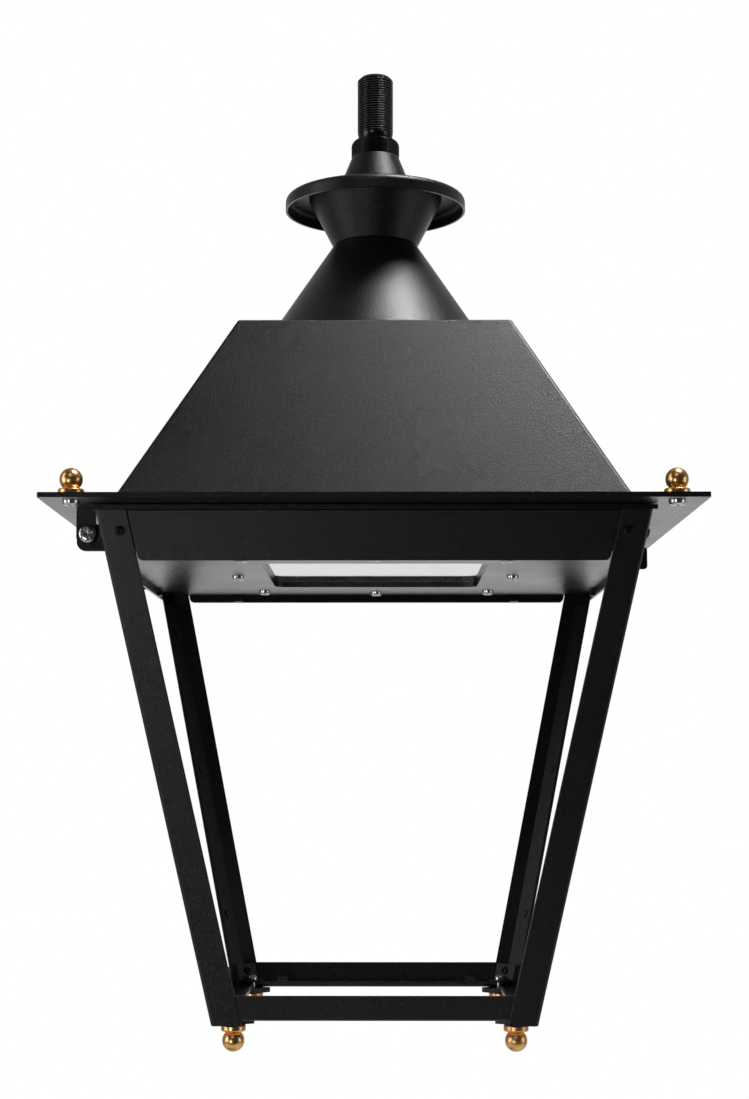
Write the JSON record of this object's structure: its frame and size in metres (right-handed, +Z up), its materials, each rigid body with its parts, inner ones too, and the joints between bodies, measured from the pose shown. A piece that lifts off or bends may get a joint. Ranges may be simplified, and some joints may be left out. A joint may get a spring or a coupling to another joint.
{
  "type": "post top lantern",
  "caption": "Square post top lantern hung by a threaded stub: pyramid roof with chimney, open four-post cage hinged to its edge, and a light unit behind a flat window.",
  "frame": {"origin": "on the stub's axis, half way up its threaded length", "axes": "+Z up along the stub, +X to the right, the front faces -Y, the hinge is on the left"},
  "size_m": [0.42, 0.42, 0.6973],
  "materials": {
    "satin_black": "satin powder coat",
    "gloss_black": "glossy black",
    "black_screws": "black oxide",
    "brass": "polished",
    "bright_screws": "plated",
    "gasket": "foam",
    "window": "clear",
    "lens": "clear moulded",
    "bare_aluminium": "die cast",
    "board": "white board",
    "driver_case": "plain",
    "terminals": "plain"
  },
  "bodies": {
    "roof": {"hanging_stub": "gloss_black", "stub_lock_nut": "gloss_black", "stub_back_nut": "gloss_black", "chimney_hat": "satin_black", "chimney_funnel": "satin_black", "chimney_cone": "satin_black", "roof_shell": "satin_black", "roof_flange": "satin_black", "roof_gasket": "gasket", "hinge_leaf_front": "satin_black", "hinge_leaf_rear": "satin_black", "closing_tab": "satin_black", "roof_finial_screws": "bright_screws", "roof_finial_front_left": "brass", "roof_finial_front_right": "brass", "roof_finial_rear_left": "brass", "roof_finial_rear_right": "brass"},
    "cage": {"cage_rim": "satin_black", "hinge_ear_front": "satin_black", "hinge_ear_rear": "satin_black", "closing_ear": "satin_black", "post_front_left": "satin_black", "post_front_right": "satin_black", "post_rear_left": "satin_black", "post_rear_right": "satin_black", "corner_strip_front_left": "satin_black", "corner_strip_front_right": "satin_black", "corner_strip_rear_left": "satin_black", "corner_strip_rear_right": "satin_black", "corner_foot_front_left": "satin_black", "corner_foot_front_right": "satin_black", "corner_foot_rear_left": "satin_black", "corner_foot_rear_right": "satin_black", "fascia_front": "satin_black", "fascia_right": "satin_black", "fascia_rear": "satin_black", "fascia_left": "satin_black", "bottom_rail_front": "satin_black", "bottom_rail_right": "satin_black", "bottom_rail_rear": "satin_black", "bottom_rail_left": "satin_black", "optic_plate": "satin_black", "strip_pins": "satin_black", "bracket_screws": "black_screws", "post_screws": "black_screws", "foot_finial_front_left": "brass", "foot_finial_front_right": "brass", "foot_finial_rear_left": "brass", "foot_finial_rear_right": "brass", "hinge_screws": "bright_screws", "optic_screws": "bright_screws", "foot_finial_screws": "bright_screws", "window_glass": "window", "lens_array": "lens", "heat_sink": "bare_aluminium", "led_board": "board", "driver": "driver_case", "terminal_block": "terminals"},
    "closing_screw": {"closing_screw": "bright_screws"}
  },
  "joints": [
    {"name": "cage_hinge", "type": "hinge", "parent": "roof", "child": "cage", "pos_m": [-0.1867, 0, -0.3355], "axis": [0, 1, 0], "range_deg": [0, 90]},
    {"name": "closing_screw_slide", "type": "slide", "parent": "cage", "child": "closing_screw", "axis": [0, 1, 0], "range_m": [0, 0.004]}
  ]
}
